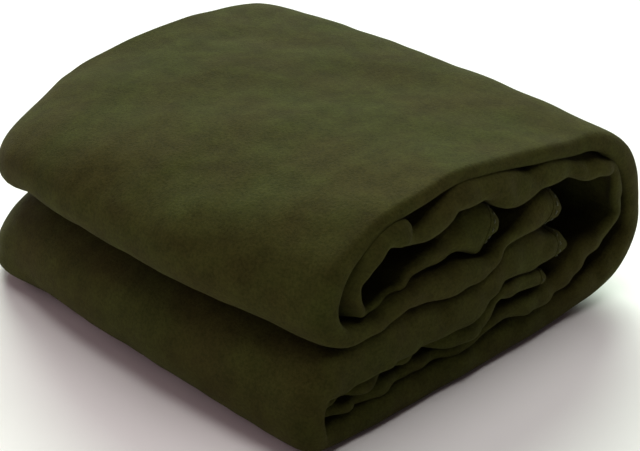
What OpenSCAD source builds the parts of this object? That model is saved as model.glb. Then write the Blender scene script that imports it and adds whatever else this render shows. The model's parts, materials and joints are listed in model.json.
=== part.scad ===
// A fleece camp blanket, folded for storage. The cloth is one panel: it is
// folded to four plies, its two ends are turned in towards the middle, and the
// bundle is folded once more about its back. Each node is one section of that
// cloth between two folds. "Cover" is the outer pair of plies, and "lining" is
// the inner pair. +Z is up, +X runs along the rounded front, and the origin is
// the middle of the face that the bundle rests on.

/* [Bundle] */
// Length of the folded bundle, along its rounded front
bundle_l = 380; // [360:1:400]
// Depth of the folded bundle, from front to back
bundle_d = 342; // [325:1:355]
// Height of the folded bundle
bundle_h = 150; // [146:1:156]
// Height of the crease between the lower and the upper half
crease_z = 78; // [76:1:80]

/* [Plies] */
// Thickness of the cover under the bundle
base_t = 22; // [18:1:24]
// Thickness of the cover over the top and down the back
cover_t = 11; // [9:1:12]
// Thickness of the lining
lining_t = 9; // [7:1:10]
// Thickness of the cover where the lower end is turned in
lower_leaf_t = 28; // [24:1:30]
// Thickness of the cover where the upper end is turned in
upper_leaf_t = 13; // [10:1:15]
// Space between the back's inner face and each turned-in end
leaf_gap = 52; // [45:1:70]

/* [Rounding] */
// Outer radius of the two back corners
back_r = 55; // [48:1:60]
// Outer radius of the upper half's front top corner
brow_r = 50; // [44:1:52]
// Rounding of the four upright corners, seen from above
corner_r = 26; // [15:1:35]
// Rounding of the top and bottom edges at the two ends
end_r = 16; // [10:1:20]

/* [Hem] */
// Width of the hem along each turned-in end
hem_w = 14; // [10:1:18]
// Thickness of the hem along each turned-in end
hem_t = 6; // [5:1:7]

/* [Hidden] */
$fn = 64;

body_gap = 0.4;    // between sections that move apart
ply_gap = 0.1;     // between sections that stay together
mitre_gap = 0.4;   // degrees trimmed each side of a mitre, where the back folds
lining_inset = 6;  // how far the lining's ends lie inside the cover's
arc_steps = 16;    // straight steps in a quarter turn of an outline
overrun = 1;       // how far a cut runs past the face it opens
olive = [0.27, 0.30, 0.14];
dark_olive = [0.20, 0.22, 0.10];
pale_olive = [0.34, 0.37, 0.19];

upper_z = crease_z + body_gap;
front_y = -bundle_d / 2;
back_y = bundle_d / 2;
join_y = front_y + brow_r + 5;     // where the front folds meet the flat plies
lining_d = cover_t + ply_gap;      // the lining's depth inside the top and back
back_low = [back_y - back_r, back_r];
back_high = [back_y - back_r, bundle_h - back_r];
leaf_end = back_y - cover_t - lining_t - leaf_gap;

// ---- profiles, with x as the bundle's depth and y as its height ----

// Points of a quarter turn, or any arc, about c
function arc(c, r, from, to) = [
    for (i = [0:arc_steps])
        let (a = from + (to - from) * i / arc_steps)
        c + r * [cos(a), sin(a)]
];

// A rectangle between two corners
module block(lo, hi) {
    translate(lo) square(hi - lo);
}

// A rectangle with round corners, centred
module round_rect(w, h, r) {
    square([w - 2 * r, h], center = true);
    square([w, h - 2 * r], center = true);
    for (x = [-1, 1], y = [-1, 1])
        translate([x * (w / 2 - r), y * (h / 2 - r)]) circle(r);
}

// The filled outline of a front fold, from low to high, open at its back
module nose(front, low, high, r_low, r_high, back) {
    polygon(concat(
        [[back, low]],
        arc([front + r_low, low + r_low], r_low, 270, 180),
        arc([front + r_high, high - r_high], r_high, 180, 90),
        [[back, high]]
    ));
}

// A turned-in end: square at the front fold, round at its tip
module leaf_profile(low, thick, tip) {
    r = thick / 2;
    block([join_y + ply_gap, low], [tip - r, low + thick]);
    translate([tip - r, low + r]) circle(r);
}

// Part of a back corner's turn, between depths d1 and d2 and two angles
module turn(c, d1, d2, from, to) {
    polygon(concat(
        arc(c, back_r - d1, from, to),
        arc(c, back_r - d2, to, from)
    ));
}

// The flat under the bundle, with the first half of the low back corner
module base_profile(d1, d2) {
    block([join_y + ply_gap, d1], [back_low[0], d2]);
    turn(back_low, d1, d2, -90, -45 - mitre_gap);
}

// The upright back, with half of each back corner
module back_profile(d1, d2) {
    block([back_y - d2, back_low[1]], [back_y - d1, back_high[1]]);
    turn(back_low, d1, d2, -45 + mitre_gap, 0);
    turn(back_high, d1, d2, 0, 45 - mitre_gap);
}

// The flat over the top, with the last half of the high back corner
module top_profile(d1, d2) {
    block([join_y + ply_gap, bundle_h - d2], [back_high[0], bundle_h - d1]);
    turn(back_high, d1, d2, 45 + mitre_gap, 90);
}

// ---- solids ----

// Runs a profile along the bundle and rounds its ends, pulled in by inset
module along(inset = 0) {
    length = bundle_l - 2 * inset;
    intersection() {
        rotate([90, 0, 90])
            linear_extrude(bundle_l, center = true) children();
        linear_extrude(bundle_h)
            round_rect(length, bundle_d, corner_r);
        translate([0, 0, bundle_h / 2]) rotate([90, 0, 0])
            linear_extrude(bundle_d, center = true)
                round_rect(length, bundle_h, end_r);
    }
}

// Levels of the plies in the two halves
base_lining_z = [base_t + ply_gap, base_t + ply_gap + lining_t];
lower_leaf_z = crease_z - lower_leaf_t;
lower_lining_z = lower_leaf_z - ply_gap - lining_t;
upper_lining_z = upper_z + upper_leaf_t + ply_gap;
top_lining_z = bundle_h - lining_d;

// Round the lower half's front fold, and the space that its lining fills
lower_r = crease_z / 2;
lower_inner_r = (lower_leaf_z - base_t) / 2;
nose_flat = 2;      // the upright stretch between a nose's two arcs
chin_r = bundle_h - upper_z - brow_r - nose_flat;
chin_inner_r = 2;
upper_inner_r = top_lining_z - upper_lining_z - chin_inner_r - nose_flat;
upper_core_r = upper_inner_r - 2 * lining_t;

module base_cover() {
    color(olive) along() base_profile(0, base_t);
}

module base_lining() {
    color(dark_olive) along(lining_inset)
        block([join_y + ply_gap, base_lining_z[0]], [back_low[0], base_lining_z[1]]);
}

module lower_front_fold() {
    color(olive) along() difference() {
        nose(front_y, 0, crease_z, lower_r, lower_r, join_y);
        nose(front_y + base_t, base_t, lower_leaf_z,
             lower_inner_r, lower_inner_r, join_y + overrun);
    }
}

module lower_front_lining() {
    r = lower_inner_r - ply_gap;
    front = front_y + base_t + ply_gap;
    color(dark_olive) along(lining_inset) difference() {
        nose(front, base_lining_z[0], lower_leaf_z - ply_gap, r, r, join_y);
        nose(front + lining_t, base_lining_z[1], lower_lining_z,
             r - lining_t, r - lining_t, join_y + overrun);
    }
}

module lower_leaf() {
    color(olive) along() leaf_profile(lower_leaf_z, lower_leaf_t, leaf_end);
}

module lower_leaf_lining() {
    color(dark_olive) along(lining_inset)
        block([join_y + ply_gap, lower_lining_z],
              [leaf_end - lower_leaf_t, lower_lining_z + lining_t]);
}

// A flat bar with round edges, past the end of a lining
module hem(from_y, mid_z) {
    color(pale_olive) along(lining_inset)
        translate([from_y + ply_gap + hem_w / 2, mid_z])
            round_rect(hem_w, hem_t, hem_t / 2 - ply_gap);
}

module lower_hem() {
    hem(leaf_end - lower_leaf_t, lower_lining_z + lining_t / 2);
}

module back_cover() {
    color(olive) along() back_profile(0, cover_t);
}

module back_lining() {
    color(dark_olive) along(lining_inset)
        back_profile(lining_d, lining_d + lining_t);
}

module top_cover() {
    color(olive) along() top_profile(0, cover_t);
}

module top_lining() {
    color(dark_olive) along(lining_inset)
        top_profile(lining_d, lining_d + lining_t);
}

module upper_front_fold() {
    color(olive) along() difference() {
        nose(front_y, upper_z, bundle_h, chin_r, brow_r, join_y);
        nose(front_y + cover_t, upper_z + upper_leaf_t, bundle_h - cover_t,
             chin_inner_r, upper_inner_r, join_y + overrun);
    }
}

module upper_front_lining() {
    front = front_y + cover_t + ply_gap;
    color(dark_olive) along(lining_inset) difference() {
        nose(front, upper_lining_z, top_lining_z,
             chin_inner_r, upper_inner_r - ply_gap, join_y);
        nose(front + lining_t, upper_lining_z + lining_t, top_lining_z - lining_t,
             chin_inner_r, upper_core_r - ply_gap, join_y + overrun);
    }
}

module upper_leaf() {
    color(olive) along() leaf_profile(upper_z, upper_leaf_t, leaf_end);
}

module upper_leaf_lining() {
    color(dark_olive) along(lining_inset)
        block([join_y + ply_gap, upper_lining_z],
              [leaf_end - lower_leaf_t, upper_lining_z + lining_t]);
}

module upper_hem() {
    hem(leaf_end - lower_leaf_t, upper_lining_z + lining_t / 2);
}

base_cover();
base_lining();
lower_front_fold();
lower_front_lining();
lower_leaf();
lower_leaf_lining();
lower_hem();
back_cover();
back_lining();
top_cover();
top_lining();
upper_front_fold();
upper_front_lining();
upper_leaf();
upper_leaf_lining();
upper_hem();
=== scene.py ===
"""A folded fleece camp blanket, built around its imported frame.

Each half of the bundle is one sheet of cloth, folded to four plies. The outer two plies are the
cover and the inner two are the lining. Lengths are in millimetres until a mesh is made.
"""

import json
import math

import bpy
import numpy as np
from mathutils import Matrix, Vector


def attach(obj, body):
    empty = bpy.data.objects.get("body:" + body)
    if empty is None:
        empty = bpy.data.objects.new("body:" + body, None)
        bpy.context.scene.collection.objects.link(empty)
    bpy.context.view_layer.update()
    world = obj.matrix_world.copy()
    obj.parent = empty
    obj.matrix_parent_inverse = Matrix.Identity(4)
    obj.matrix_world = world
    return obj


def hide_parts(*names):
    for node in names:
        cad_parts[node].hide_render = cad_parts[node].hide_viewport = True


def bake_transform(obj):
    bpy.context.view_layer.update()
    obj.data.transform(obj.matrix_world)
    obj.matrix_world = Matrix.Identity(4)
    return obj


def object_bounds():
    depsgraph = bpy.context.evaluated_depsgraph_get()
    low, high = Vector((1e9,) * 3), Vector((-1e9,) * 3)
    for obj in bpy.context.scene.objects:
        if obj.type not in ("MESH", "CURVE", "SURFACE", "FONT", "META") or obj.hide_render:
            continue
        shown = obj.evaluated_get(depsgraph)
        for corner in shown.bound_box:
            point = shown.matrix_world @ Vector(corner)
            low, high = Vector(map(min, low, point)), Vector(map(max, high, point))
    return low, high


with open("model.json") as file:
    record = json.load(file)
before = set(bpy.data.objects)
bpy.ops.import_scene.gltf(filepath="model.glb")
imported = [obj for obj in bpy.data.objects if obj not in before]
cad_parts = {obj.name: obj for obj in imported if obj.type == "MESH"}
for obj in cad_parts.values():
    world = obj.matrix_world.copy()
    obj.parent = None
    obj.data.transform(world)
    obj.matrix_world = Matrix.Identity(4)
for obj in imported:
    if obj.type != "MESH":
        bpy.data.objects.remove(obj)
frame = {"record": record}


def box_lists():
    """The whole model's box as plain lists."""
    low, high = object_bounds()
    return [list(low), list(high)]


cad_box = box_lists()

# ---------------------------------------------------------------- sizes, in mm
MM = 0.001
END = cad_box[1][0] / MM  # x of the bundle's right end
HEIGHT = cad_box[1][2] / MM
PLY = 4.0  # thickness of the fleece
PANEL_LENGTH, PANEL_WIDTH = 1524.0, 1270.0  # the open blanket; each half is half its width

# Stations along each pair of plies, from the turned-in tip round to the back. "middle" is
# the bundle's middle and its -X end: (y, z, half thickness). "right" is the +X end as it
# finally lies: (y, z, half thickness, how far inside the bundle's end the fold stops).
SECTIONS = {
    "lower_cover": {
        "middle": [
            (91, 64, 3), (88, 64, 9), (75, 64, 13.5), (48, 64, 14.5), (22, 64, 14.5),
            (-5, 64, 14.5), (-30, 64, 14.5), (-60, 64, 14.5), (-99, 64, 14.5),
            (-130, 62.5, 14), (-149, 54, 13.5), (-158, 38.5, 12.5), (-149, 21, 12.5),
            (-130, 12, 12), (-97, 11.5, 11.5), (-32, 11.5, 11.5), (43, 11.5, 11.5),
            (80, 11.5, 11.5), (105, 12.5, 11), (128, 16.5, 10), (149, 32, 8),
            (161, 52, 6.5), (165, 74, 6),
        ],
        "right": [
            (84, 66, 3, 5), (80, 68, 8, 4), (69, 71, 12, 3), (52, 75, 16, 3),
            (33, 79, 15, 3), (12, 74, 11.5, 3), (-12, 61, 15, 2), (-45, 57, 17, 2),
            (-90, 56.5, 17.5, 2), (-130, 57, 16, 2), (-150, 51, 10, 2), (-156, 37, 5, 3),
            (-155, 23, 6, 3), (-146, 12, 8, 4), (-106, 11, 11, 5), (-40, 11, 11, 5),
            (30, 13, 12, 6), (68, 14, 12, 5), (98, 16, 12.5, 3), (129, 22, 13, 2),
            (151, 35, 12, 2), (162, 54, 10, 3), (162, 74, 9, 4),
        ],
    },
    "lower_lining": {
        "middle": [
            (71, 44, 3), (65, 44, 4.5), (45, 44, 4.5), (25, 44, 4.5), (5, 44, 4.5),
            (-12, 44, 4.5), (-28, 44, 4.5), (-44, 44, 4.5), (-60, 44, 4.5),
            (-76, 44, 4.5), (-92, 44, 4.5), (-108, 44, 4.5), (-130, 43, 4.5),
            (-139, 39.5, 4.5), (-141, 36, 4.5), (-139, 32, 4.5), (-130, 28.5, 4.5),
            (-114, 27.8, 4.5), (-97, 27.7, 4.5), (-78, 27.7, 4.5), (-58, 27.7, 4.5),
            (-40, 27.7, 4.5), (-20, 27.7, 4.5), (5, 27.7, 4.5), (43, 27.7, 4.5),
            (70, 27.8, 4.5), (95, 28, 4.5), (108, 30, 4.5), (121, 33, 4.5),
            (141, 46, 4.5), (150, 59, 4.5), (154, 74, 4.5),
        ],
        "right": [
            (61, 50, 3, 4), (57, 51, 6, 3), (44, 53, 7.5, 3), (30, 56, 7.5, 3),
            (14, 56, 6, 4), (-3, 40, 7, 6), (-18, 37, 7, 5), (-36, 36, 5.5, 11),
            (-50, 38, 3.5, 16), (-66, 35, 6.5, 9), (-84, 37, 4, 16), (-101, 34, 6.5, 9),
            (-119, 37, 4, 16), (-137, 37, 5, 10), (-147, 33, 3, 12), (-142, 28, 4, 14),
            (-125, 26, 5, 9), (-108, 25, 4, 15), (-92, 26, 6, 9), (-74, 24, 4, 14),
            (-57, 26, 5.5, 8), (-39, 25, 4, 13), (-20, 26, 5, 9), (2, 30, 4.5, 9),
            (25, 38, 7, 4), (48, 34, 8, 3), (68, 35, 8.5, 3), (84, 41, 9, 3),
            (98, 48, 9, 4), (118, 55, 7.5, 5), (134, 63, 6.5, 5), (142, 74, 6, 5),
        ],
    },
    "upper_cover": {
        "middle": [
            (77, 86, 3), (73, 86, 6.5), (50, 86, 6.5), (22, 85.5, 6.5), (0, 85.5, 6.5),
            (-22, 85.5, 6.5), (-43, 85.5, 6.5), (-70, 85.5, 6.5), (-99, 85.5, 6.5),
            (-133, 86.5, 6.5), (-153, 92, 6), (-162, 101, 5.5), (-161, 114, 5.5),
            (-150, 124, 5.5), (-132, 133, 5.5), (-105, 140, 5.5), (-71, 144.5, 5.5),
            (-21, 146, 5.5), (43, 144.5, 5.5), (103, 142, 5.5), (134, 134.5, 5.5),
            (155, 118, 5.5), (163, 96, 5.5), (165, 74, 6),
        ],
        "right": [
            (70, 103, 3, 5), (67, 104, 9, 4), (56, 106, 14, 3), (40, 101, 9, 3),
            (24, 96, 6, 3), (8, 88, 6, 3), (-12, 85, 9, 3), (-45, 84, 10, 3),
            (-82, 82, 7.5, 3), (-112, 79.5, 6, 3), (-130, 82.5, 7, 3), (-139, 94, 8, 4),
            (-139, 110, 7.5, 5), (-132, 124, 7, 6), (-117, 134, 6.5, 8), (-92, 144.5, 6, 9),
            (-60, 151, 5.5, 9), (-20, 154, 5.5, 9), (38, 150, 6, 8), (84, 141, 6.5, 7),
            (120, 133, 8, 6), (142, 118, 9.5, 5), (156, 98, 9.5, 4), (162, 74, 9, 4),
        ],
    },
    "upper_lining": {
        "middle": [
            (60, 97, 3), (54, 97, 4.5), (30, 97, 4.5), (0, 97, 4.5), (-40, 97, 4.5),
            (-75, 97, 4.5), (-105, 97, 4.5), (-131, 97.5, 4.5), (-146, 102, 4.5),
            (-151.5, 108.5, 4.5), (-146, 115, 4.5), (-127, 122.5, 4.5), (-101, 129, 4.5),
            (-84, 132, 4.5), (-66, 134, 4.5), (-46, 135.3, 4.5), (-26, 135.7, 4.5),
            (-8, 135.5, 4.5), (10, 135, 4.5), (26, 134.5, 4.5), (42, 134, 4.5),
            (58, 133.5, 4.5), (74, 133, 4.5), (90, 132.3, 4.5), (106, 131, 4.5),
            (127, 126, 4.5), (144, 112.5, 4.5), (152, 94, 4.5), (154, 74, 4.5),
        ],
        "right": [
            (8, 110, 3, 8), (5, 112, 12, 7), (-6, 113, 18, 7), (-24, 110, 12, 9),
            (-48, 104, 8, 12), (-74, 95, 4.5, 13), (-98, 89, 3.5, 12), (-112, 90, 3, 9),
            (-116, 96, 2.8, 5), (-118, 105, 2.8, 5), (-119, 115, 3, 5),
            (-112, 125, 5.5, 4), (-96, 134, 8, 3), (-80, 135, 9, 3), (-71, 129, 5.5, 9),
            (-50, 131, 10.5, 4), (-26, 140.5, 11, 2), (-8, 142, 9, 2), (8, 139, 10.5, 3),
            (22, 133, 12, 2), (38, 130, 11, 2), (52, 133, 11, 3), (66, 131, 9.5, 3),
            (82, 126, 8, 3), (99, 120, 7.5, 3), (117, 117, 5.5, 3), (134, 113, 4.5, 4),
            (139, 98, 5, 4), (142, 74, 6, 5),
        ],
    },
}


# ---------------------------------------------------------------- curves and noise
def smooth(value):
    """Smoothstep of a value clipped to 0..1."""
    v = np.clip(value, 0.0, 1.0)
    return v * v * (3 - 2 * v)


def rise(value, start, length):
    """0 up to start, rising smoothly to 1 over a length past it."""
    return smooth((value - start) / length)


def near_face(y):
    """0 in the middle of the bundle's depth, rising to 1 at its front and back."""
    return rise(np.abs(y), 60, 90)


def spline(points, at):
    """Points of a smooth curve through (y, z, ...) stations, at fractions of their number.

    It ends running straight up or down, so that the two sheets meet in line at the back.
    """
    p = np.asarray(points, float)
    gaps = np.maximum(np.linalg.norm(np.diff(p[:, :2], axis=0), axis=1), 1e-6)
    t = np.concatenate([[0], np.cumsum(np.sqrt(gaps))])
    slope = np.empty_like(p)
    slope[1:-1] = (p[2:] - p[:-2]) / (t[2:] - t[:-2])[:, None]
    slope[0] = (p[1] - p[0]) / (t[1] - t[0])
    slope[-1] = 0
    slope[-1, 1] = (p[-1, 1] - p[-2, 1]) / (t[-1] - t[-2])
    i = np.clip(np.floor(at).astype(int), 0, len(p) - 2)
    f = (at - i)[:, None]
    span = (t[i + 1] - t[i])[:, None]
    return (
        (1 + 2 * f) * (1 - f) ** 2 * p[i]
        + f * (1 - f) ** 2 * span * slope[i]
        + f * f * (3 - 2 * f) * p[i + 1]
        + f * f * (f - 1) * span * slope[i + 1]
    )


def even_stations(points, count):
    """Where along the stations to sample so that the samples lie evenly on the curve."""
    samples_each = 40
    dense = np.linspace(0, len(points) - 1, samples_each * len(points))
    line = spline(points, dense)[:, :2]
    run = np.concatenate([[0], np.cumsum(np.linalg.norm(np.diff(line, axis=0), axis=1))])
    return np.interp(np.linspace(0, run[-1], count), run, dense)


def ripple(coords, wavelength, seed):
    """Smooth random relief of about -1 to 1: crossed waves of roughly one wavelength."""
    waves = 9
    spread = math.sqrt(waves / 2)  # the standard deviation of their sum
    usual_peak = 1.6  # in standard deviations
    rng = np.random.default_rng(seed)
    total = np.zeros(coords.shape[:-1])
    for _ in range(waves):
        direction = rng.normal(size=3)
        direction /= np.linalg.norm(direction)
        k = 2 * math.pi / (wavelength * rng.uniform(0.7, 1.5))
        total += np.sin(coords @ direction * k + rng.uniform(0, 2 * math.pi))
    return total / spread / usual_peak


# ---------------------------------------------------------------- the folded sheet
STRIP_STEPS = 170  # samples along the strip, from its tip to the back
OUTER_STEPS = 110  # samples along x on the ply that shows
HIDDEN_STEPS = 44  # samples along x on a ply inside
FOLD_STEPS = 11  # samples round a fold
RIGHT_REACH = 150.0  # how far the right end's shape runs into the bundle
RIGHT_PUSH = 3.0  # how far the right end's front and back are set out before its corners round
COVER_RECESS, LINING_RECESS = 4.0, 11.0  # how far inside the bundle's left end the folds lie
RIGHT_WAVES, LEFT_WAVES = (1.0, 70, 5), (1.5, 90, 8)  # in the folds' line: depth, length, seed
THINNEST_HALF = 0.8  # least distance of a ply's middle from the middle of its pair
TUCK_TURN = 0.84  # share of a half turn by which the free edge is tucked round
UNDER_SETBACK, THIRD_OVERHANG = 7.0, 3.0  # where the hidden plies end at the left
HEM_WIDTH, HEM_THICKNESS = 14.0, 4.8  # the turned and stitched edge of each sheet's end
SEAM_SETBACK = 3.0  # how far the stitches lie inside the hem's inner edge
STITCH_PITCH, STITCH_LENGTH = 5.0, 3.4


class Pair:
    """Two plies that lie together: their middle line and half thickness at any x."""

    def __init__(self, name, outward, recess):
        sections = SECTIONS[name]
        at = even_stations(sections["middle"], STRIP_STEPS)
        self.middle = spline(sections["middle"], at)
        self.right = spline(sections["right"], at)
        y = self.right[:, 0]
        self.right[:, 0] = y + np.sign(y) * RIGHT_PUSH * near_face(y)
        self.outward = outward
        run = np.arange(STRIP_STEPS) / STRIP_STEPS
        places = np.stack([run * PANEL_WIDTH / 2, run * 0, run * 0], axis=-1)

        def waves(depth, wavelength, seed):
            return depth * (1 + ripple(places, wavelength, seed + int(recess)))

        self.right_end = END - self.right[:, 3] - waves(*RIGHT_WAVES)
        self.left_end = END - recess - waves(*LEFT_WAVES)

    def ply(self, x, side):
        """The middle surface of the outer (side 1) or inner (side -1) ply at x[x, s]."""
        share = smooth(1 - (END - x) / RIGHT_REACH)[..., None]
        both = self.middle * (1 - share) + self.right[:, :3] * share
        tangent = np.gradient(both[..., :2], axis=1)
        tangent /= np.linalg.norm(tangent, axis=-1, keepdims=True)
        normal = np.stack([tangent[..., 1], -tangent[..., 0]], axis=-1) * self.outward
        reach = np.maximum(both[..., 2:] - PLY / 2, THINNEST_HALF)
        return np.dstack([x, both[..., :2] + normal * reach * side])

    def bulge(self, right):
        """How far the fold at one end stands out past the two plies' edges, for each s."""
        section = self.right if right else self.middle
        half = np.maximum(section[:, 2] - PLY / 2, THINNEST_HALF)
        return fold_bulge(half)


def across(left, right, count, crowd):
    """x[x, s] from left to right, closer together near both ends if crowd is set."""
    u = np.linspace(-1, 1, count)
    if crowd:
        u = np.sin(u * math.pi / 2)
    u = u[:, None]
    return (left + right) / 2 + (right - left) / 2 * u


def fold_bulge(half):
    """How far a fold stands out: a half circle if it is thin, and flatter if it is fat."""
    least = 1.8
    flattened = 4.0 + 0.3 * half
    return np.minimum(np.maximum(half, least), flattened)


def fold(a, b, way, turn=1.0):
    """The round fold from edge a to edge b, bulging along x; way is 1 or -1."""
    middle, half = (a + b) / 2, (a - b) / 2
    bulge = fold_bulge(np.linalg.norm(half, axis=-1))
    rows = []
    for angle in np.linspace(0, math.pi * turn, FOLD_STEPS + 2)[1:-1]:
        row = middle + half * math.cos(angle)
        row[:, 0] += way * bulge * math.sin(angle)
        rows.append(row)
    return np.array(rows)


def four_plies(cover, lining):
    """The whole sheet as rows along x and columns along the strip."""
    right = cover.right_end - cover.bulge(True)
    left = cover.left_end - cover.bulge(False)
    outer = cover.ply(across(-left, right, OUTER_STEPS, False), 1)
    under = cover.ply(across(-left + UNDER_SETBACK, right, HIDDEN_STEPS, True), -1)
    tucked = cover.ply(across(-left, right, 2, False), -1)[0]
    inner_right = lining.right_end - lining.bulge(True)
    inner_left = lining.left_end - lining.bulge(False)
    second = lining.ply(across(-inner_left, inner_right, HIDDEN_STEPS, True), 1)
    third_left = -inner_left - THIRD_OVERHANG
    third = lining.ply(across(third_left, inner_right, HIDDEN_STEPS, True), -1)
    return np.concatenate([
        fold(outer[0], tucked, -1, TUCK_TURN)[::-1],
        outer,
        fold(outer[-1], under[-1], 1),
        under[::-1],
        fold(under[0], second[0], -1),
        second,
        fold(second[-1], third[-1], 1),
        third[::-1],
    ])


# ---------------------------------------------------------------- how the bundle has settled
# Radii of the upright corners, seen from above. The left front one is tighter low down.
LEFT_CORNER, LEFT_LOW_CORNER, BACK_CORNER, RIGHT_CORNER = 70.0, 56.0, 22.0, 18.5
HEEL = 9.0  # how much further forward the bottom of the left front corner lies
# How far the top's edge sinks at the left end, at its back and at its front
LEFT_DROOP, LEFT_FRONT_DROOP = 4.0, 26.0
LEFT_SPAN = 150.0  # the length over which it sinks
FRONT_BULGE = 13.0  # how much the front's middle stands before its ends
CREASE_DIP = 18.0  # how far the crease sinks at the left end
# Relief of the cloth: (wavelength, depth, seed), all over and in what lies inside the right end
UNEVENNESS = [(150, 1.6, 11), (62, 0.5, 12), (27, 0.2, 13)]
CRUMPLES = [(46, 1.3, 17), (22, 1.2, 18)]
CRUMPLE_START, CRUMPLE_RISE = 110.0, 70.0  # where along x they begin, and over what length
RIM, RIM_RISE = 4.0, 14.0  # how deep inside the outer face they begin, and over what depth
FLAT_UNDER = 40.0  # the height over which the relief fades towards the floor
TURNED_IN = 0.38  # share of the strip, from its tip, that lies inside the bundle


def right_outside(covers):
    """The outer face of the bundle's right end: (y, z) of points along it."""
    first = int(TURNED_IN * STRIP_STEPS)
    return np.concatenate([c.ply(c.right_end[None], 1)[0, first:, 1:] for c in covers])


def settle(points, outside):
    """The neatly stacked plies moved to where their weight and handling leave them."""
    p = points.copy()
    x, y, z = p[..., 0].copy(), p[..., 1].copy(), p[..., 2].copy()
    height = np.clip(z / HEIGHT, 0, 1.1)
    run = np.clip(np.abs(x) / END, 0, 1)
    # the upright corners are round, and the upper left one most of all
    left = LEFT_LOW_CORNER + (LEFT_CORNER - LEFT_LOW_CORNER) * rise(height, 0.1, 0.5)
    left = np.where(y < 0, left, BACK_CORNER)
    corner = np.where(x < 0, left, RIGHT_CORNER)
    past = np.clip(np.abs(x) - (END - corner), 0, corner)
    pull = corner - np.sqrt(corner**2 - past**2)
    p[..., 1] = y - np.sign(y) * pull * near_face(y)
    # the front bulges most at its middle, and the bottom of its left corner stands forward
    power = 2 + 3 * smooth(1 - 2 * height)
    p[..., 1] -= FRONT_BULGE * (1 - run**power) * rise(-y, 30, 120)
    p[..., 1] -= HEEL * rise(-x, 70, 70) * smooth(1.4 - z / 25) * rise(-y, 90, 40)
    # the top droops over the left end, most of all at the front
    droop = LEFT_DROOP + (LEFT_FRONT_DROOP - LEFT_DROOP) * rise(-y, -20, 170)
    near_end = np.clip((-x - (END - LEFT_SPAN)) / LEFT_SPAN, 0, 1) ** 2
    p[..., 2] -= droop * near_end * height**2
    # the crease sinks towards the left end
    mid_height = np.sin(math.pi * np.clip(height, 0, 1)) ** 1.5
    p[..., 2] -= CREASE_DIP * rise(-x, 95, 90) * mid_height
    # gentle unevenness all over, and crumples in what lies inside the right end
    depth_inside = np.full(x.shape, HEIGHT)
    for place in outside:
        depth_inside = np.minimum(depth_inside, np.hypot(y - place[0], z - place[1]))
    loose = rise(x, CRUMPLE_START, CRUMPLE_RISE) * rise(depth_inside, RIM, RIM_RISE)
    uneven = np.zeros_like(p)
    for reliefs, share in ((UNEVENNESS, 1.0), (CRUMPLES, loose)):
        for size, depth, seed in reliefs:
            for axis in range(3):
                uneven[..., axis] += depth * share * ripple(points, size, seed * 10 + axis)
    uneven[..., 2] *= smooth(z / FLAT_UNDER)
    p += uneven
    p[..., 2] = np.maximum(p[..., 2], PLY / 2)
    return p


# ---------------------------------------------------------------- meshes
def normals(grid):
    """Unit normals of a sheet's middle surface."""
    across_rows, along_strip = np.gradient(grid, axis=0), np.gradient(grid, axis=1)
    normal = np.cross(across_rows, along_strip)
    return normal / np.maximum(np.linalg.norm(normal, axis=-1, keepdims=True), 1e-9)


def thickened(grid, thickness):
    """Vertices and faces of a sheet with middle surface grid[row, column], and its rim's faces."""
    rows, columns = grid.shape[:2]
    half = normals(grid) * (thickness / 2)
    vertices = np.concatenate([(grid + half).reshape(-1, 3), (grid - half).reshape(-1, 3)])
    index = np.arange(rows * columns).reshape(rows, columns)
    top = np.stack([index[:-1, :-1], index[1:, :-1], index[1:, 1:], index[:-1, 1:]], -1)
    top = top.reshape(-1, 4)
    low = top[:, ::-1] + rows * columns
    rim = np.concatenate([index[0, :], index[1:, -1], index[-1, -2::-1], index[-2:0:-1, 0]])
    after = np.roll(rim, -1)
    edge = np.stack([rim, after, after + rows * columns, rim + rows * columns], -1)
    return vertices, np.concatenate([top, low, edge]), len(edge)


def smooth_mesh(name, vertices, faces):
    """A smooth shaded mesh in metres, from vertices in millimetres."""
    mesh = bpy.data.meshes.new(name)
    mesh.from_pydata((vertices * MM).tolist(), [], faces.tolist())
    mesh.polygons.foreach_set("use_smooth", [True] * len(mesh.polygons))
    mesh.update()
    return mesh


def cloth_object(name, grid, material, thickness=PLY):
    """A solid sheet with its rim kept crisp, in the scene."""
    vertices, faces, rim_faces = thickened(grid, thickness)
    mesh = smooth_mesh(name, vertices, faces)
    sharp = np.zeros(len(mesh.edges), bool)
    edge_of = {tuple(sorted(e.vertices)): e.index for e in mesh.edges}
    for face in faces[-rim_faces:]:
        sharp[edge_of[tuple(sorted((int(face[0]), int(face[1]))))]] = True
        sharp[edge_of[tuple(sorted((int(face[2]), int(face[3]))))]] = True
    attribute = mesh.attributes.new("sharp_edge", "BOOLEAN", "EDGE")
    attribute.data.foreach_set("value", sharp)
    mesh.materials.append(material)
    thing = bpy.data.objects.new(name, mesh)
    bpy.context.scene.collection.objects.link(thing)
    return thing


def line_inside(grid, distance):
    """How many columns of a sheet lie within a distance of its turned-in end."""
    middle_row = grid[len(grid) // 2]
    run = np.cumsum(np.linalg.norm(np.diff(middle_row, axis=0), axis=1))
    return int(np.searchsorted(run, distance)) + 1


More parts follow.
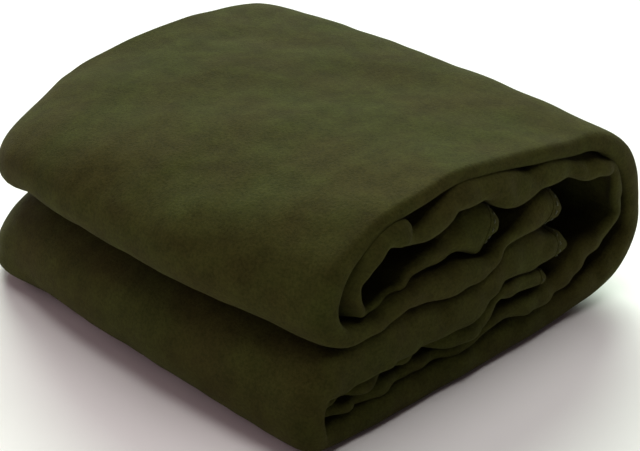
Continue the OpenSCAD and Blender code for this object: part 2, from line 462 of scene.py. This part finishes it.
def stitches(path, normal):
    """Short threads along a path on both faces of the cloth: vertices and faces.

    Each thread is a six-sided tube with four rings: thin and sunk at its two ends, and full
    and raised in between.
    """
    sides, rings = 6, 4
    steps = np.array([0, 0.25, 0.75, 1]) * STITCH_LENGTH
    lifts, radii = (-0.2, 0.35, 0.35, -0.2), (0.3, 0.5, 0.5, 0.3)
    tube = [
        (sides * r + k, sides * r + (k + 1) % sides, sides * (r + 1) + (k + 1) % sides,
         sides * (r + 1) + k)
        for r in range(rings - 1)
        for k in range(sides)
    ]
    caps = [(3, 2, 1, 0), (5, 4, 3, 0), (18, 19, 20, 21), (18, 21, 22, 23)]
    run = np.concatenate([[0], np.cumsum(np.linalg.norm(np.diff(path, axis=0), axis=1))])
    starts = np.arange(STITCH_PITCH, run[-1] - STITCH_PITCH, STITCH_PITCH)

    def at(values, where):
        return np.stack([np.interp(where, run, values[:, k]) for k in range(3)], axis=-1)

    all_vertices, all_faces = [], []
    for side in (1, -1):
        out = at(normal, starts) * side
        centres = [at(path, starts + step) for step in steps]
        ahead = centres[-1] - centres[0]
        ahead /= np.maximum(np.linalg.norm(ahead, axis=-1, keepdims=True), 1e-9)
        aside = np.cross(ahead, out)
        points = []
        for centre, lift, radius in zip(centres, lifts, radii):
            raised = centre + out * (HEM_THICKNESS / 2 + lift)
            for turn in np.arange(sides) * 2 * math.pi / sides:
                spoke = aside * math.cos(turn) + out * math.sin(turn)
                points.append(raised + spoke * radius)
        vertices = np.stack(points, axis=1)  # [stitch, point, 3]
        first = np.arange(len(starts))[:, None, None] * sides * rings
        offset = sum(len(v) for v in all_vertices)
        all_faces.append((np.array(tube + caps)[None] + first).reshape(-1, 4) + offset)
        all_vertices.append(vertices.reshape(-1, 3))
    return np.concatenate(all_vertices), np.concatenate(all_faces)


# ---------------------------------------------------------------- materials
# Features per metre of the fleece's patches, clumps, flecks and nap
PATCHES, CLUMPS, FLECKS, NAP = 16, 65, 480, 520
BROWN_OLIVE, GREEN_OLIVE = (0.0384, 0.0338, 0.0080), (0.0362, 0.0382, 0.0080)


def grey(level):
    return (level, level, level)


def fleece(name):
    """Short-napped olive fleece: greener and browner patches, clumps of nap, fine flecks."""
    material = bpy.data.materials.new(name)
    material.use_nodes = True
    nodes, links = material.node_tree.nodes, material.node_tree.links
    shader = nodes["Principled BSDF"]
    shader.inputs["Roughness"].default_value = 0.95
    shader.inputs["Specular IOR Level"].default_value = 0.05
    shader.inputs["Sheen Weight"].default_value = 0.04
    shader.inputs["Sheen Roughness"].default_value = 0.5
    shader.inputs["Sheen Tint"].default_value = (0.6, 0.5, 0.35, 1)
    place = nodes.new("ShaderNodeTexCoord")

    def noise(scale, detail, roughness=0.6):
        node = nodes.new("ShaderNodeTexNoise")
        node.inputs["Scale"].default_value = scale
        node.inputs["Detail"].default_value = detail
        node.inputs["Roughness"].default_value = roughness
        links.new(place.outputs["Object"], node.inputs["Vector"])
        return node.outputs["Fac"]

    def ramp(source, stops):
        node = nodes.new("ShaderNodeValToRGB")
        links.new(source, node.inputs["Fac"])
        for element, (where, colour) in zip(node.color_ramp.elements, stops):
            element.position = where
            element.color = (*colour, 1)
        return node.outputs["Color"]

    def times(colour, other, share):
        node = nodes.new("ShaderNodeMix")
        node.data_type = "RGBA"
        node.blend_type = "MULTIPLY"
        node.inputs["Factor"].default_value = share
        links.new(colour, node.inputs["A"])
        links.new(other, node.inputs["B"])
        return node.outputs["Result"]

    def relief(height, depth, below=None):
        node = nodes.new("ShaderNodeBump")
        node.inputs["Strength"].default_value = 0.5
        node.inputs["Distance"].default_value = depth
        links.new(height, node.inputs["Height"])
        if below:
            links.new(below, node.inputs["Normal"])
        return node.outputs["Normal"]

    patches = ramp(noise(PATCHES, 4), [(0.38, BROWN_OLIVE), (0.62, GREEN_OLIVE)])
    clumps = noise(CLUMPS, 5)
    shades = ramp(clumps, [(0.35, grey(0.86)), (0.65, grey(1.18))])
    flecks = ramp(noise(FLECKS, 4, 0.7), [(0.36, grey(0.60)), (0.60, grey(1.20))])
    links.new(times(times(patches, shades, 1.0), flecks, 0.6), shader.inputs["Base Color"])
    napped = relief(noise(NAP, 5, 0.7), 0.0012, relief(clumps, 0.0010))
    links.new(napped, shader.inputs["Normal"])
    return material


def thread(name):
    """Plain olive sewing thread."""
    material = bpy.data.materials.new(name)
    material.use_nodes = True
    shader = material.node_tree.nodes["Principled BSDF"]
    shader.inputs["Base Color"].default_value = (0.044, 0.046, 0.014, 1)
    shader.inputs["Roughness"].default_value = 0.6
    return material


# ---------------------------------------------------------------- the stage
def add_camera():
    """The camera at the photograph's angle, without shift or depth of field."""
    azimuth, elevation = math.radians(47.5), math.radians(28.33)
    distance = 1.223
    aim = Vector((-0.0459, 0.0605, 0.0))
    back = Vector((
        math.sin(azimuth) * math.cos(elevation),
        -math.cos(azimuth) * math.cos(elevation),
        math.sin(elevation),
    ))
    data = bpy.data.cameras.new("camera")
    data.lens = 84.4
    data.sensor_width = 36.0
    camera = bpy.data.objects.new("camera", data)
    camera.location = aim + back * distance
    camera.rotation_euler = (-back).to_track_quat("-Z", "Y").to_euler()
    bpy.context.scene.collection.objects.link(camera)
    bpy.context.scene.camera = camera


# The lights' tints, the width of their sources and the strength of the light all round
COOL, PLAIN, WARM = (0.85, 1.0, 0.86), (1.0, 0.98, 0.95), (1.0, 0.75, 0.80)
LIGHT_WIDTH = math.radians(43)
ROOM_LIGHT = 0.07


def soft_light(name, source, strength, colour):
    """Even light that comes from a wide patch around the direction of source."""
    data = bpy.data.lights.new(name, "SUN")
    data.angle = LIGHT_WIDTH
    data.energy = strength
    data.color = colour
    light = bpy.data.objects.new(name, data)
    light.rotation_euler = (-Vector(source)).to_track_quat("-Z", "Y").to_euler()
    bpy.context.scene.collection.objects.link(light)


def add_stage():
    """A plain pale floor in a white room, with the main light from behind on the left."""
    mesh = bpy.data.meshes.new("floor")
    reach = 12.0  # metres
    corners = [(-reach, -reach, 0), (reach, -reach, 0), (reach, reach, 0), (-reach, reach, 0)]
    mesh.from_pydata(corners, [], [(0, 1, 2, 3)])
    floor = bpy.data.objects.new("floor", mesh)
    bpy.context.scene.collection.objects.link(floor)
    pale = bpy.data.materials.new("pale_floor")
    pale.use_nodes = True
    shader = pale.node_tree.nodes["Principled BSDF"]
    shader.inputs["Base Color"].default_value = (0.92, 0.90, 0.90, 1)
    shader.inputs["Roughness"].default_value = 0.9
    mesh.materials.append(pale)
    # the room looks white, and gives only a little light
    world = bpy.data.worlds.new("soft_room")
    world.use_nodes = True
    nodes, links = world.node_tree.nodes, world.node_tree.links
    dim, output = nodes["Background"], nodes["World Output"]
    dim.inputs["Color"].default_value = (*WARM, 1)
    dim.inputs["Strength"].default_value = ROOM_LIGHT
    white = nodes.new("ShaderNodeBackground")
    white.inputs["Color"].default_value = (1, 1, 1, 1)
    ray, either = nodes.new("ShaderNodeLightPath"), nodes.new("ShaderNodeMixShader")
    links.new(ray.outputs["Is Camera Ray"], either.inputs[0])
    links.new(dim.outputs[0], either.inputs[1])
    links.new(white.outputs[0], either.inputs[2])
    links.new(either.outputs[0], output.inputs["Surface"])
    bpy.context.scene.world = world
    soft_light("behind_left", (-1.5, 1.35, 1.2), 4.9, COOL)
    soft_light("above", (0, 0.1, 1), 1.5, PLAIN)
    soft_light("front_left", (-1.7, -1.1, 0.8), 0.78, WARM)
    bpy.context.scene.view_settings.view_transform = "Standard"


# ---------------------------------------------------------------- the blanket
HALVES = {"lower": ("lower_half", 1), "upper": ("upper_half", -1)}  # body, and the outer ply's side

add_camera()
add_stage()
fleece_material = fleece("olive_fleece")
thread_material = thread("olive_thread")
covers = {h: Pair(h + "_cover", way, COVER_RECESS) for h, (_, way) in HALVES.items()}
linings = {h: Pair(h + "_lining", way, LINING_RECESS) for h, (_, way) in HALVES.items()}
outside = right_outside(covers.values())
nodes_of = {
    body: [n for n in names if not n.endswith("_hem")]
    for body, names in frame["record"]["behaviour"]["bodies"].items()
}
for half, (body, way) in HALVES.items():
    grid = settle(four_plies(covers[half], linings[half]), outside)
    if half == "upper":
        grid = grid[::-1]  # so that its faces look the same way as the lower sheet's
    cloth = cloth_object(half + "_cloth", grid, fleece_material)

    # the hem along the turned-in end, and its row of stitches
    edge = line_inside(grid, HEM_WIDTH)
    hem = cloth_object(half + "_edge_hem", grid[:, : edge + 1], fleece_material, HEM_THICKNESS)
    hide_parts(half + "_hem")
    row = line_inside(grid, HEM_WIDTH - SEAM_SETBACK)
    vertices, faces = stitches(grid[:, row], normals(grid)[:, row])
    sewing = bpy.data.objects.new(
        half + "_stitches", smooth_mesh(half + "_stitches", vertices, faces)
    )
    sewing.data.materials.append(thread_material)
    bpy.context.scene.collection.objects.link(sewing)
    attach(hem, body)
    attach(sewing, body)

    # the cloth bends round a back corner of the bundle; the frame's parts it replaces are hidden
    # and its placement is baked into its mesh
    if half == "lower":
        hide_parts(*nodes_of[body])
        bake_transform(cloth)
    else:
        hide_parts(*nodes_of[body], *nodes_of["back_fold"])
        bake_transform(cloth)
